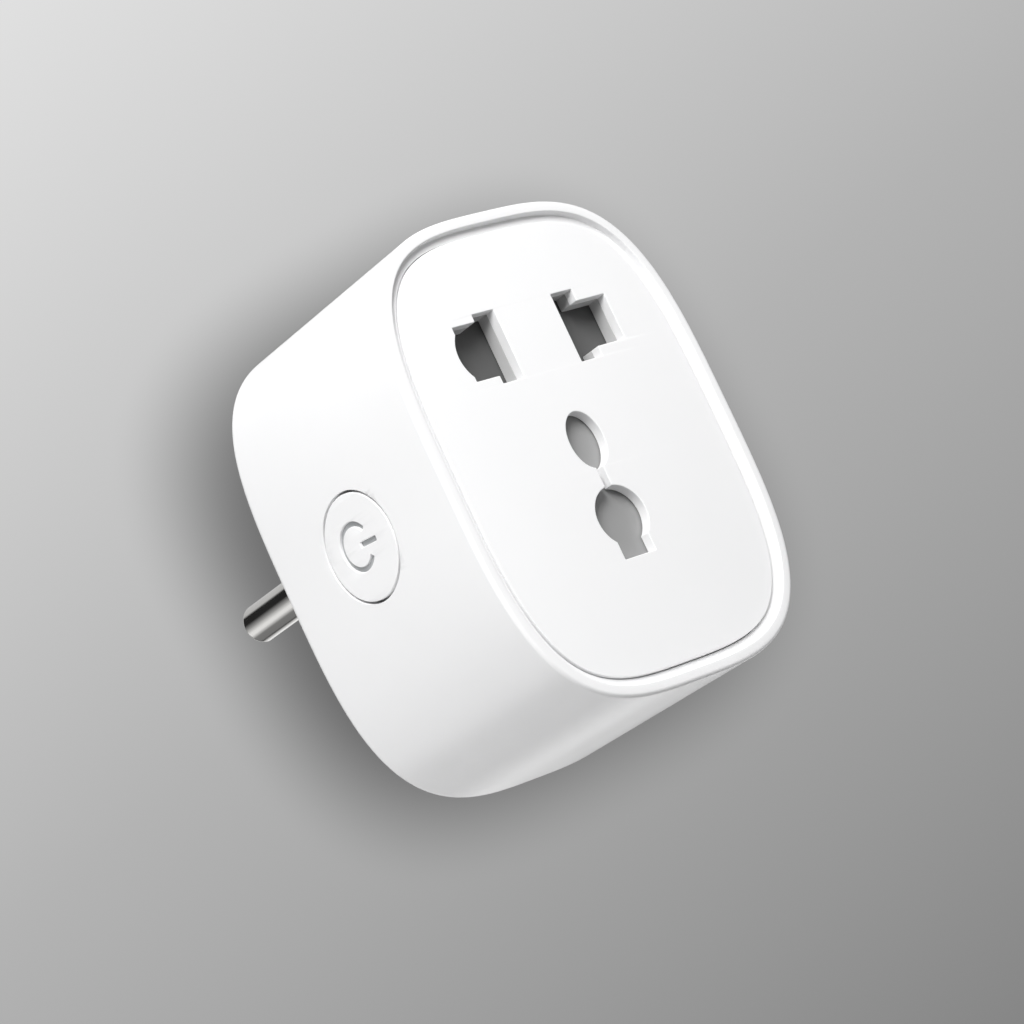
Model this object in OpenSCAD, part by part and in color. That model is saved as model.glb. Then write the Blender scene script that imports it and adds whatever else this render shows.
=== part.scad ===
// Smart plug: a two-pin mains adapter with a switched universal socket in its front.
// Sizes are in millimetres. The origin is the centre of the rear pad, which rests on the wall
// outlet. +X is to the right as seen from the front, +Y runs into the wall and +Z is up.

/* [Shell] */
// Width of the shell
body_w = 43.7; // [43.5:0.1:45]
// Height of the shell
body_h = 57.9; // [57.7:0.1:59]
// Depth of the shell, from its rear rim to its front lip
body_d = 34.1; // [34:0.1:36]
// Exponent of the squircle outline: 2 is an ellipse, more is squarer
squareness = 3.35; // [3.35:0.05:4]
// Thickness of the shell's wall
wall = 1.6; // [1.4:0.1:1.6]
// Radius of the lip's outer edge
lip_round = 0.5; // [0.3:0.1:0.8]
// Radius of the rim's rear edge
rim_round = 1.1; // [0.6:0.1:1.3]

/* [Face] */
// Width of the lip's flat front
lip_w = 1.35; // [1.25:0.05:1.45]
// Depth of the groove between the lip and the face plate
groove_d = 0.9; // [0.8:0.05:1]
// Distance of the face plate's recess from the outline
plate_inset = 2.35; // [2.2:0.05:2.4]
// Depth of the face plate below the lip
plate_recess = 0.55; // [0.4:0.05:0.7]
// Thickness of the face plate
plate_t = 1.4; // [1.4:0.1:1.5]
// Gap all round the face plate
plate_gap = 0.1; // [0.1:0.05:0.15]
// Height of the line and neutral holes' centre line
line_z = 13.5; // [13.3:0.1:13.7]
// Distance from that centre line down to the earth hole's centre
earth_drop = 22.3; // [22.1:0.1:22.4]
// Radius of the earth hole
earth_r = 3.6; // [3.5:0.05:3.7]

/* [Rear] */
// Height of the rear pad above the rim
pad_h = 4.2; // [4:0.1:4.4]
// Thickness of the rear cover
cover_t = 2.0; // [1.8:0.1:2]
// Radius of a mains pin
pin_r = 2.4; // [2.35:0.05:2.45]
// Length of a mains pin in front of the pad
pin_l = 19.0; // [18.5:0.1:19.5]
// Distance between the centres of the mains pins
pin_pitch = 19.0; // [18.6:0.1:19.4]
// Height of the mains pins above the middle
pin_z = 3.1; // [2.8:0.1:4]

/* [Button] */
// Radius of the button's cap
button_r = 6.2; // [5.9:0.1:6.4]
// Gap round the cap
button_gap = 0.3; // [0.2:0.05:0.35]
// Distance of the button's centre behind the lip
button_back = 17.5; // [17.1:0.1:17.9]
// Travel of the button
button_travel = 0.4; // [0.3:0.05:0.4]

/* [Hidden] */
$fn = 64;

outline_steps = 96;
eps = 0.01;

// Planes along Y, from the wall forwards
rim_y = -pad_h;
cover_front = rim_y - cover_t;
lip_y = rim_y - body_d;
plate_y = lip_y + plate_recess;
plate_back = plate_y + plate_t;
ledge_t = 1.2;
ledge_back = plate_back + ledge_t;
ledge_inset = 3.4;

// Shutters: the earth one slides right behind the plate, the line one behind the collars
earth_shutter_y = plate_back + 0.15;
earth_shutter_t = 0.8;
collar_back = plate_back + 1.7;
line_shutter_y = collar_back + 0.1;
line_shutter_t = 1.2;
line_travel = 8.9;
earth_travel = 8.0;
earth_z = line_z - earth_drop;

// Circuit boards
board_t = 1.6;
main_y = cover_front - 3.5;
control_x = -16.55;
control_t = 1.2;
part_h = 2.0;

// Contact carrier
carrier_front = line_shutter_y + line_shutter_t + 0.2;
carrier_back = main_y - 6.2;
carrier_floor = 1.2;
carrier_half_w = 13.4;
carrier_top = 18.9;
carrier_bottom = -16.0;
pocket_back = carrier_back - carrier_floor;
pocket_in = 3.9;
pocket_out = 12.4;
pocket_half_h = 4.8;
tail_x = 10.9;
channel_x = 8.2;
channel_half_w = 1.6;
channel_bottom = -4.6;
ear_t = 2.0;
ear_half_w = 3.5;
boss_r = 2.0;
boss_top_z = 21.6;
boss_bottom_z = -18.8;
tap_r = 0.8;

// Mains pins: the root that the cover is moulded round, and the recess round the shank
root_r = pin_r - 0.2;
pin_recess = 0.5;
recess_r = pin_r + 1.2;

// Screw posts at the corners
post_x = 14.6;
post_z = 20.8;
post_r = 2.2;
screw_r = 0.9;
head_r = 1.8;
head_h = 1.0;

// Button
button_y = lip_y + button_back;
side_x = -body_w / 2;
cap_back = side_x + 2.55;
flange_t = 0.7;
flange_r = 7.2;
icon_r = 2.6;
icon_stroke = 0.6;
icon_gap = 37;
icon_depth = 0.3;
icon_back = 0.65;
icon_up = 0.3;
icon_turn = 6;
guide_base = 1.05;
guide_r = 4.2;

// Colours
white = "white";
ash = "dimgray";
brass = "goldenrod";
steel = "lightsteelblue";

// ---------------------------------------------------------------- helpers

// Point of the squircle |x/a|^n + |z/b|^n = 1 at an angle, moved inwards along its normal
function squircle_point(angle, inset) =
    let (
        n = squareness,
        c = cos(angle),
        s = sin(angle),
        x = body_w / 2 * sign(c) * pow(abs(c), 2 / n),
        z = body_h / 2 * sign(s) * pow(abs(s), 2 / n),
        normal_x = sign(c) * pow(abs(c), 2 - 2 / n) / body_w,
        normal_z = sign(s) * pow(abs(s), 2 - 2 / n) / body_h,
        size = norm([normal_x, normal_z])
    )
    [x - inset * normal_x / size, z - inset * normal_z / size];

function ring(inset) = [
    for (i = [0:outline_steps - 1]) squircle_point(360 * i / outline_steps, inset)
];

module outline(inset) {
    polygon(ring(inset));
}

// Solid through a list of outlines, each given as [y, inset], in order of rising y
module loft(levels) {
    n = outline_steps;
    last = len(levels) - 1;
    points = [for (level = levels, p = ring(level[1])) [p[0], level[0], p[1]]];
    walls = [
        for (j = [0:last - 1], i = [0:n - 1], half = [0, 1])
            let (a = j * n + i, b = j * n + (i + 1) % n)
            half == 0 ? [a, b, b + n] : [a, b + n, a + n]
    ];
    front = [for (i = [n - 1:-1:0]) i];
    back = [for (i = [0:n - 1]) last * n + i];
    polyhedron(points, concat(walls, [front, back]), convexity = 4);
}

// Extrudes an X-Z drawing from y0 to y1
module along_y(y0, y1) {
    translate([0, y1, 0]) rotate([90, 0, 0]) linear_extrude(y1 - y0) children();
}

// Extrudes a Y-Z drawing from x0 to x1
module along_x(x0, x1) {
    translate([x0, 0, 0]) rotate([90, 0, 90]) linear_extrude(x1 - x0) children();
}

module rod_y(x, z, r, y0, y1) {
    translate([x, y1, z]) rotate([90, 0, 0]) cylinder(r = r, h = y1 - y0);
}

module rod_x(y, z, r, x0, x1) {
    translate([x0, y, z]) rotate([0, 90, 0]) cylinder(r = r, h = x1 - x0);
}

// A box between two corners
module block(low, high) {
    translate(low) cube(high - low);
}

module both_sides() {
    children();
    mirror([1, 0, 0]) children();
}

module at_posts() {
    for (x = [-post_x, post_x], z = [-post_z, post_z]) translate([x, 0, z]) children();
}

// A coil of round wire that climbs along +Z
module coil(radius, wire, length, turns) {
    sides = 6;
    per_turn = 16;
    rings = turns * per_turn;
    points = [
        for (i = [0:rings], k = [0:sides - 1])
            let (t = 360 * i / per_turn, p = 360 * k / sides, r = radius + wire * cos(p))
            [r * cos(t), r * sin(t), wire + (length - 2 * wire) * i / rings + wire * sin(p)]
    ];
    walls = [
        for (i = [0:rings - 1], k = [0:sides - 1], half = [0, 1])
            let (a = i * sides + k, b = i * sides + (k + 1) % sides)
            half == 0 ? [a, b, b + sides] : [a, b + sides, a + sides]
    ];
    start = [for (k = [sides - 1:-1:0]) k];
    finish = [for (k = [0:sides - 1]) rings * sides + k];
    polyhedron(points, concat(walls, [start, finish]), convexity = 10);
}

// ---------------------------------------------------------------- casing

// Solid block in the shape of the closed shell, with both of its long edges rounded
module shell_block() {
    arc_steps = 4;
    lip_edge = [
        for (i = [arc_steps:-1:0])
            let (a = 90 * i / arc_steps)
            [lip_y + lip_round * (1 - sin(a)), lip_round * (1 - cos(a))]
    ];
    rim_edge = [
        for (i = [0:arc_steps])
            let (a = 90 * i / arc_steps)
            [rim_y - rim_round * (1 - sin(a)), rim_round * (1 - cos(a))]
    ];
    loft(concat(lip_edge, rim_edge));
}

// The mouth inside the lip: a steep wall down to the groove, then the face plate's recess
module lip_mouth() {
    over = 0.2;
    draft = 0.1;
    loft([[lip_y - over, lip_w], [lip_y + groove_d, lip_w + draft]]);
    along_y(lip_y + groove_d - eps, plate_back) outline(plate_inset);
}

module screw_posts() {
    intersection() {
        at_posts() {
            rod_y(0, 0, post_r, ledge_back - eps, cover_front);
        }
        along_y(ledge_back - 1, rim_y) outline(wall - eps);
    }
}

// Webs that tie each post to the wall beside it
module post_webs() {
    web_t = 1.2;
    intersection() {
        for (x = [-1, 1], z = [-1, 1]) {
            block(
                [min(x * post_x, x * body_w / 2), ledge_back - eps, z * post_z - web_t / 2],
                [max(x * post_x, x * body_w / 2), cover_front, z * post_z + web_t / 2]
            );
        }
        along_y(ledge_back - 1, rim_y) outline(wall / 2);
    }
}

module shell() {
    color(white) {
        difference() {
            union() {
                difference() {
                    shell_block();
                    lip_mouth();
                    along_y(plate_back - eps, ledge_back + eps) outline(ledge_inset);
                    along_y(ledge_back, rim_y + 1) outline(wall);
                    rod_x(button_y, 0, button_r + button_gap, side_x - 1, side_x + wall + 1);
                }
                post_webs();
                screw_posts();
            }
            at_posts() rod_y(0, 0, screw_r, cover_front - 8, cover_front + 1);
        }
    }
}

// Line hole: an upright blade slot crossed by a rectangle
module right_hole() {
    translate([4.4, line_z - 4.25]) square([3.2, 8.45]);
    translate([4.4, line_z - 3.0]) square([7.5, 5.7]);
}

// Neutral hole: the same slot, with a taller opening that ends in an arc
module left_hole() {
    arc_r = 4.06;
    translate([-7.6, line_z - 4.25]) square([3.2, 8.45]);
    translate([-11.0, line_z - 3.3]) square([6.6, 6.6]);
    intersection() {
        translate([-11.9 + arc_r, line_z - 0.15]) circle(arc_r);
        translate([-12.0, line_z - 3.3]) square([3.0, 6.6]);
    }
}

// Earth hole: a keyhole below, joined by a narrow neck to an oval above
module earth_hole() {
    oval_half_w = 2.5;
    oval_half_h = 3.44;
    oval_z = 0.54;
    translate([0, earth_z]) circle(earth_r);
    translate([-2.35, earth_z - 4.85]) square([4.7, 4.85]);
    translate([-0.5, earth_z + 3.0]) square([1.0, 4.0]);
    translate([0, oval_z]) polygon([
        for (i = [0:47]) [oval_half_w * cos(7.5 * i), oval_half_h * sin(7.5 * i)]
    ]);
}

// A hook on the plate's back that snaps behind the shell's ledge, drawn pointing up
module snap_hook(reach, half_w) {
    leg_t = 0.8;
    barb = 0.7;
    along_x(-half_w, half_w) polygon([
        [plate_back - eps, reach - leg_t],
        [ledge_back + 1.2, reach - leg_t],
        [ledge_back + 1.2, reach],
        [ledge_back + 0.1, reach + barb],
        [ledge_back + 0.1, reach],
        [plate_back - eps, reach]
    ]);
}

// Rails that hold the earth shutter's edges, joined by a web past its open end
module shutter_rails() {
    low = earth_low;
    high = earth_high;
    left = -4.6;
    right = 12.8;
    leg_t = 1.0;
    play = 0.15;
    lip_cover = 0.6;
    lip_front = earth_shutter_y + earth_shutter_t + play;
    lip_back = line_shutter_y - play;
    block([-frame_half_w, plate_back, high + play], [right, lip_back, high + play + leg_t]);
    block([left, lip_front, high - lip_cover], [right, lip_back, high + play + eps]);
    block([left, plate_back, low - play - leg_t], [right, lip_back, low - play]);
    block([left, lip_front, low - play - eps], [right, lip_back, low + lip_cover]);
    block([right - eps, plate_back, low - play - leg_t], [right + leg_t, lip_back, high + play + leg_t]);
    both_sides() {
        block([frame_half_w - 3.2, plate_back, high + play], [frame_half_w, lip_back, line_z - 4.3]);
    }
}

module collars() {
    collar_t = 0.8;
    along_y(plate_back, collar_back) {
        difference() {
            union() {
                offset(delta = collar_t) right_hole();
                offset(delta = collar_t) left_hole();
            }
            right_hole();
            left_hole();
        }
    }
}

// Light moulding fixed to the plate's back: collars round the line holes and the shutter's rails
module shutter_frame() {
    color("gainsboro") {
        collars();
        shutter_rails();
    }
}

module face_plate() {
    hook_clearance = 0.15;
    color(white) {
        along_y(plate_y, plate_back) {
            difference() {
                outline(plate_inset + plate_gap);
                right_hole();
                left_hole();
                earth_hole();
            }
        }
        for (turn = [0, 180]) {
            rotate([0, turn, 0]) snap_hook(body_h / 2 - ledge_inset - hook_clearance, 3);
            rotate([0, turn + 90, 0]) snap_hook(body_w / 2 - ledge_inset - hook_clearance, 3);
        }
        difference() {
            for (z = [boss_top_z, boss_bottom_z]) {
                rod_y(0, z, boss_r, plate_back - eps, carrier_front);
            }
            for (z = [boss_top_z, boss_bottom_z]) {
                rod_y(0, z, tap_r, plate_back + 0.2, carrier_front + 1);
            }
        }
        rod_y(-12.0, earth_spring_z, 0.5, plate_back - eps, collar_back);
    }
}

module rear_cover() {
    pad_inset = 4.5;
    color(white) {
        difference() {
            union() {
                along_y(cover_front, rim_y) outline(wall + 0.15);
                along_y(rim_y - eps, 0) outline(pad_inset);
            }
            for (x = [-pin_pitch / 2, pin_pitch / 2]) {
                rod_y(x, pin_z, root_r, cover_front - 1, 1);
                rod_y(x, pin_z, recess_r, -pin_recess, 1);
            }
            at_posts() {
                rod_y(0, 0, screw_r + 0.2, cover_front - 1, rim_y + 1);
                rod_y(0, 0, head_r + 0.2, rim_y - head_h - 0.2, 1);
            }
        }
    }
}

// One self-tapping screw with a cross recess; its head's seat is at y = 0
module screw(shaft_r, shaft_l, r, h) {
    slot = 0.45;
    difference() {
        union() {
            rod_y(0, 0, shaft_r, -shaft_l, eps);
            rod_y(0, 0, r, 0, h);
        }
        block([-r * 0.6, h * 0.45, -slot / 2], [r * 0.6, h + 1, slot / 2]);
        block([-slot / 2, h * 0.45, -r * 0.6], [slot / 2, h + 1, r * 0.6]);
    }
}

module cover_screws() {
    color(steel) at_posts() translate([0, rim_y - head_h - 0.2, 0]) screw(screw_r, 7.5, head_r, head_h);
}

// A mains pin: bare round shank with a rounded tip, a root moulded into the cover, and a tail
module mains_pin(x) {
    tip = 0.5;
    collar_r = 3.4;
    tail_r = 1.4;
    collar_front = cover_front - 1.4;
    translate([x, 0, pin_z]) {
        rod_y(0, 0, pin_r, -pin_recess, pin_l - tip);
        rod_y(0, 0, pin_r - tip, pin_l - tip - eps, pin_l);
        translate([0, pin_l - tip, 0]) rotate([-90, 0, 0]) rotate_extrude() {
            intersection() {
                translate([pin_r - tip, 0]) circle(tip);
                square([pin_r, tip]);
            }
        }
        rod_y(0, 0, root_r, collar_front, eps - pin_recess);
        rod_y(0, 0, collar_r, collar_front, cover_front);
        rod_y(0, 0, tail_r, main_y - 0.6, collar_front + eps);
    }
}

module live_pin() {
    color(steel) mains_pin(pin_pitch / 2);
}

module neutral_pin() {
    color(steel) mains_pin(-pin_pitch / 2);
}

// ---------------------------------------------------------------- button and its switch

// Power symbol in the Y-Z plane, a little behind and above the cap's centre: an open ring with a
// bar through its gap
module power_symbol() {
    bar_l = 3.0;
    bar_start = -3.75;
    reach = 8;
    translate([button_y + icon_back, icon_up]) rotate(icon_turn) {
        difference() {
            circle(icon_r + icon_stroke / 2);
            circle(icon_r - icon_stroke / 2);
            polygon([[0, 0], [-reach, -reach * tan(icon_gap)], [-reach, reach * tan(icon_gap)]]);
        }
        translate([bar_start, -icon_stroke / 2]) square([bar_l, icon_stroke]);
    }
}

module power_button() {
    color(white) {
        difference() {
            union() {
                rod_x(button_y, 0, button_r, side_x, cap_back);
                rod_x(button_y, 0, flange_r, cap_back - flange_t, cap_back);
            }
            rod_x(button_y, 0, guide_r, cap_back - guide_base, cap_back + 1);
            along_x(side_x - 1, cap_back - guide_base + eps) power_symbol();
        }
    }
}

module icon_light_guide() {
    color("silver") {
        rod_x(button_y, 0, guide_r, cap_back - guide_base, cap_back);
        along_x(side_x + icon_depth, cap_back - guide_base + eps) power_symbol();
    }
}

switch_half = 3.0;
plunger_r = 1.6;
switch_top = control_x - part_h;
plunger_foot = control_x - 0.85;

module switch_plunger() {
    color("black") rod_x(button_y, 0, plunger_r, cap_back, plunger_foot - button_travel);
}

module switch_dome() {
    color(steel) rod_x(button_y, 0, 1.9, plunger_foot - button_travel, plunger_foot - button_travel + 0.1);
}

module tact_switch() {
    color(ash) {
        difference() {
            block(
                [switch_top, button_y - switch_half, -switch_half],
                [control_x, button_y + switch_half, switch_half]
            );
            rod_x(button_y, 0, plunger_r + 0.1, switch_top - 1, control_x - 0.5);
            rod_x(button_y, 0, 2.1, plunger_foot - button_travel - 0.1, control_x - 0.3);
        }
    }
}

// ---------------------------------------------------------------- socket

module carrier_ear(z_low, z_high) {
    block([-ear_half_w, carrier_front, z_low], [ear_half_w, carrier_front + ear_t, z_high]);
}

// Holes of one side of the carrier: the pin pocket and the spring channel
module carrier_side() {
    block(
        [pocket_in, carrier_front - 1, line_z - pocket_half_h],
        [pocket_out, pocket_back + 1, line_z + pocket_half_h]
    );
    block(
        [channel_x - channel_half_w, carrier_front - 1, channel_bottom],
        [channel_x + channel_half_w, carrier_front + 3.9, line_z]
    );
}

module contact_carrier() {
    color(ash) {
        difference() {
            union() {
                block(
                    [-carrier_half_w, carrier_front, carrier_bottom],
                    [carrier_half_w, pocket_back, carrier_top]
                );
                carrier_ear(carrier_top - eps, boss_top_z + 2.2);
                carrier_ear(boss_bottom_z - 2.2, carrier_bottom + eps);
            }
            both_sides() carrier_side();
            block([-4.2, carrier_front - 1, earth_z - 5.4], [4.2, pocket_back + 1, 4.5]);
            for (z = [boss_top_z, boss_bottom_z]) {
                rod_y(0, z, tap_r + 0.2, carrier_front - 1, carrier_front + ear_t + 1);
            }
        }
    }
}

// Floor that closes the carrier's pockets, with a slot for each contact's tail
module carrier_base() {
    color(ash) {
        difference() {
            block(
                [-carrier_half_w, pocket_back, carrier_bottom],
                [carrier_half_w, carrier_back, carrier_top]
            );
            both_sides() {
                block(
                    [tail_x - 0.4, pocket_back - 1, line_z - 1.7],
                    [tail_x + 0.4, carrier_back + 1, line_z + 1.7]
                );
            }
        }
    }
}

module carrier_screws() {
    color(steel) {
        for (z = [boss_top_z, boss_bottom_z]) {
            translate([0, carrier_front + ear_t, z]) screw(tap_r, 4.6, 1.6, 0.9);
        }
    }
}

// One spring leaf of a contact, drawn in Y and height from the pin's centre line
module leaf() {
    t = 0.5;
    root_y = pocket_back - 0.5;
    pinch_y = carrier_front + 6.3;
    mouth_y = carrier_front + 3.8;
    root = 3.1;
    pinch = 2.1;
    mouth = 2.9;
    polygon([
        [root_y, root], [pinch_y, pinch], [mouth_y, mouth],
        [mouth_y, mouth + t], [pinch_y, pinch + t], [root_y, root + t]
    ]);
}

module contact() {
    color(brass) {
        translate([0, 0, line_z]) {
            along_x(4.9, 11.4) {
                leaf();
                mirror([0, 1]) leaf();
                translate([pocket_back - 0.5 - eps, -3.6]) square([0.5, 7.2]);
            }
            block([tail_x - 0.25, pocket_back - 0.5, -1.5], [tail_x + 0.25, main_y + board_t + 0.3, 1.5]);
        }
    }
}

module live_contact() {
    contact();
}

module neutral_contact() {
    mirror([1, 0, 0]) contact();
}

shutter_in = 3.9;
shutter_out = 12.3;
shutter_low = 8.9;
shutter_high = 18.1;
tab_t = 1.2;

// A bridge joins the two blades, and a tab behind each blade stands on its spring
module line_shutter() {
    back = line_shutter_y + line_shutter_t;
    color(ash) {
        both_sides() {
            block([shutter_in, line_shutter_y, shutter_low], [shutter_out, back, shutter_high]);
            block(
                [channel_x - 1.2, back - eps, shutter_low],
                [channel_x + 1.2, back + 3.5, shutter_low + tab_t]
            );
        }
        block([-shutter_in - eps, line_shutter_y, 14.0], [shutter_in + eps, back, shutter_high]);
    }
}

module line_shutter_springs() {
    color(steel) {
        both_sides() {
            translate([channel_x, line_shutter_y + line_shutter_t + 2.1, channel_bottom]) {
                coil(1.1, 0.16, shutter_low - channel_bottom, 7);
            }
        }
    }
}

frame_half_w = 7.6;
earth_half_w = 4.2;
earth_ear = 0.8;
earth_spring_z = -5.0;
earth_low = earth_z - 5.7;
earth_high = 4.8;

// A flat slide with a hooked ear on its left edge for the return spring
module earth_shutter() {
    back = earth_shutter_y + earth_shutter_t;
    ear = earth_half_w + earth_ear;
    half = 0.6;
    color("gray") {
        block([-earth_half_w, earth_shutter_y, earth_low], [earth_half_w, back, earth_high]);
        block(
            [-ear, earth_shutter_y, earth_spring_z - half],
            [-earth_half_w + eps, back, earth_spring_z + half]
        );
    }
}

module earth_shutter_spring() {
    anchor_x = -11.4;
    color(steel) {
        translate([anchor_x, earth_shutter_y + 0.75, earth_spring_z]) rotate([0, 90, 0]) {
            coil(0.55, 0.1, -earth_half_w - earth_ear - anchor_x, 9);
        }
    }
}

// ---------------------------------------------------------------- electronics

module control_board() {
    front = main_y - 21.4;
    low = -16.0;
    high = 16.2;
    color("seagreen") block([control_x, front, low], [control_x + control_t, main_y - 0.6, high]);
}

// Radio module: a small board under a metal can, with a bare aerial end
module wifi_module() {
    low = 4.2;
    high = 16.0;
    back = main_y - 3.0;
    front = main_y - 20.0;
    module_t = 0.8;
    edge = 0.8;
    aerial_l = 4.6;
    face = control_x - module_t;
    color("silver") {
        block([face, front, low], [control_x, back, high]);
        block(
            [control_x - part_h, front + edge, low + edge],
            [face + eps, back - aerial_l, high - edge]
        );
    }
}

module status_led() {
    z = -4.5;
    half = 0.5;
    color("aqua") {
        block([control_x - 0.7, button_y - 0.8, z - half], [control_x, button_y + 0.8, z + half]);
    }
}

header_count = 5;
header_pitch = 2.0;
header_low = -12.6;
header_x = control_x - 1.0;
header_pin_r = 0.3;

// Right-angle header between the two boards
module board_header() {
    margin = 1.0;
    high = header_low + header_pitch * (header_count - 1);
    color("black") {
        block([header_x - 1, main_y - 2.1, header_low - margin], [control_x, main_y, high + margin]);
    }
    color(brass) {
        for (i = [0:header_count - 1]) {
            z = header_low + header_pitch * i;
            rod_y(header_x, z, header_pin_r, main_y - eps, main_y + board_t + 0.4);
        }
    }
}

module main_board() {
    edge_inset = 3.0;
    post_gap = 0.4;
    web_slot = 2.4;
    slot_l = 8;
    tail_hole_r = 1.5;
    contact_slot = [0.8, 3.4];
    color("seagreen") {
        along_y(main_y, main_y + board_t) {
            difference() {
                outline(edge_inset);
                for (x = [-1, 1], z = [-post_z, post_z]) {
                    translate([x * post_x, z]) circle(post_r + post_gap);
                    translate([x * (post_x + slot_l * 0.7), z]) square([slot_l, web_slot], center = true);
                }
                for (x = [-pin_pitch / 2, pin_pitch / 2]) translate([x, pin_z]) circle(tail_hole_r);
                for (x = [-tail_x, tail_x]) translate([x, line_z]) square(contact_slot, center = true);
                for (i = [0:header_count - 1]) {
                    translate([header_x, header_low + header_pitch * i]) circle(header_pin_r + 0.1);
                }
            }
        }
    }
}

module relay() {
    half_w = 9.6;
    low = -25.6;
    high = -16.3;
    h = 15.3;
    foot_r = 0.4;
    color("royalblue") block([-half_w, main_y - h, low], [half_w, main_y - 0.1, high]);
    color(brass) {
        for (x = [-7.5, 7.5], z = [low + 1.6, high - 1.7]) {
            rod_y(x, z, foot_r, main_y - 0.2, main_y - eps);
        }
    }
}

module filter_capacitors() {
    x = 3.6;
    z = 22.6;
    r = 3.15;
    h = 12.0;
    color("midnightblue") both_sides() rod_y(x, z, r, main_y - h, main_y - 0.1);
}

// Drum choke: two flanges with the winding between them
module inductor() {
    z = 12;
    flange_r = 3.0;
    winding_r = 2.6;
    top = main_y - 5.7;
    foot = main_y - 0.1;
    t = 0.8;
    color("black") {
        rod_y(0, z, flange_r, top, top + t);
        rod_y(0, z, flange_r, foot - t, foot);
    }
    color("sienna") rod_y(0, z, winding_r, top + t - eps, foot - t + eps);
}

module rectifier() {
    color("black") block([-8.6, main_y - 2.6, 16.1], [-3.9, main_y - 0.1, 18.6]);
}

module fuse() {
    color("darkolivegreen") translate([7.6, main_y - 2.1, -13]) cylinder(r = 1.8, h = 10);
}

module varistor() {
    color("dodgerblue") rod_y(-1.5, -7, 3.5, main_y - 3.8, main_y - 0.1);
}

shell();
face_plate();
shutter_frame();
rear_cover();
cover_screws();
live_pin();
neutral_pin();
power_button();
icon_light_guide();
switch_plunger();
switch_dome();
tact_switch();
contact_carrier();
carrier_base();
carrier_screws();
live_contact();
neutral_contact();
line_shutter();
line_shutter_springs();
earth_shutter();
earth_shutter_spring();
control_board();
wifi_module();
status_led();
board_header();
main_board();
relay();
filter_capacitors();
inductor();
rectifier();
fuse();
varistor();
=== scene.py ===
import math

import bmesh
import bpy
import numpy as np
from mathutils import Matrix, Vector


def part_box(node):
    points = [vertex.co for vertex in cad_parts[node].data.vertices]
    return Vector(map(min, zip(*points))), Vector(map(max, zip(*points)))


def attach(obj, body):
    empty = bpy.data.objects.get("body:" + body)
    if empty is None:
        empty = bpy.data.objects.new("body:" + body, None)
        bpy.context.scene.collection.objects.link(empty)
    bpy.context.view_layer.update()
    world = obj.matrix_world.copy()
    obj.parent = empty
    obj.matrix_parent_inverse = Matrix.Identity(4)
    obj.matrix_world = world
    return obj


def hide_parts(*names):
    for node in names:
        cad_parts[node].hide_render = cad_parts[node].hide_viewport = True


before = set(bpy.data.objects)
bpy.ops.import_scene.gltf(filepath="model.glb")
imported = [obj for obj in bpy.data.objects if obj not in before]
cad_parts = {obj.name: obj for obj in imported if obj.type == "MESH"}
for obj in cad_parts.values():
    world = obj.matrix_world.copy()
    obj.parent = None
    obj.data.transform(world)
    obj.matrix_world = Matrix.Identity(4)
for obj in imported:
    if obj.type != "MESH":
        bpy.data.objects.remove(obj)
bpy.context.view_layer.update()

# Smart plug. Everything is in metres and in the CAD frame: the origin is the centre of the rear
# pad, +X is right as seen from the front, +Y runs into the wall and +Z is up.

MM = 0.001

# ---------------------------------------------------------------- places, from the frame

shell_low, shell_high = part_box("shell")
plate_low, plate_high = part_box("face_plate")
cover_low, cover_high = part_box("rear_cover")
button_low, button_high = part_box("power_button")
guide_low, guide_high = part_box("icon_light_guide")

HALF_W = shell_high.x
HALF_H = shell_high.z
LIP_Y = shell_low.y
RIM_Y = shell_high.y
PLATE_Y = plate_low.y
COVER_FRONT = cover_low.y
BUTTON_Y = (button_low.y + button_high.y) / 2

SQUARENESS = 3.35
WALL = 1.6 * MM
PLATE_T = 1.4 * MM
PLATE_BACK = PLATE_Y + PLATE_T
LEDGE_T = 1.2 * MM
LEDGE_BACK = PLATE_BACK + LEDGE_T
LEDGE_INSET = 3.4 * MM
PLATE_INSET = 2.35 * MM
PLATE_GAP = 0.1 * MM
LINE_Z = 13.5 * MM
EARTH_Z = -8.8 * MM
COLLAR_BACK = PLATE_BACK + 1.7 * MM
BUTTON_R = 6.2 * MM
BUTTON_GAP = 0.3 * MM
POST_X = 14.6 * MM
POST_Z = 20.8 * MM

# ---------------------------------------------------------------- mesh helpers


def add_object(name, mesh, body=None, node=None):
    """Links a mesh as a piece that rides on a body and stands for CAD nodes, which it hides."""
    piece = bpy.data.objects.new(name, mesh)
    bpy.context.scene.collection.objects.link(piece)
    if body:
        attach(piece, body)
    if node:
        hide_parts(*([node] if isinstance(node, str) else node))
    return piece


def mesh_from(name, points, faces):
    mesh = bpy.data.meshes.new(name)
    mesh.from_pydata([tuple(p) for p in points], [], faces)
    mesh.validate()
    return mesh


def loose_object(name, mesh):
    """An object used while building, such as a cutter, which is removed again."""
    piece = bpy.data.objects.new(name, mesh)
    bpy.context.scene.collection.objects.link(piece)
    return piece


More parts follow.
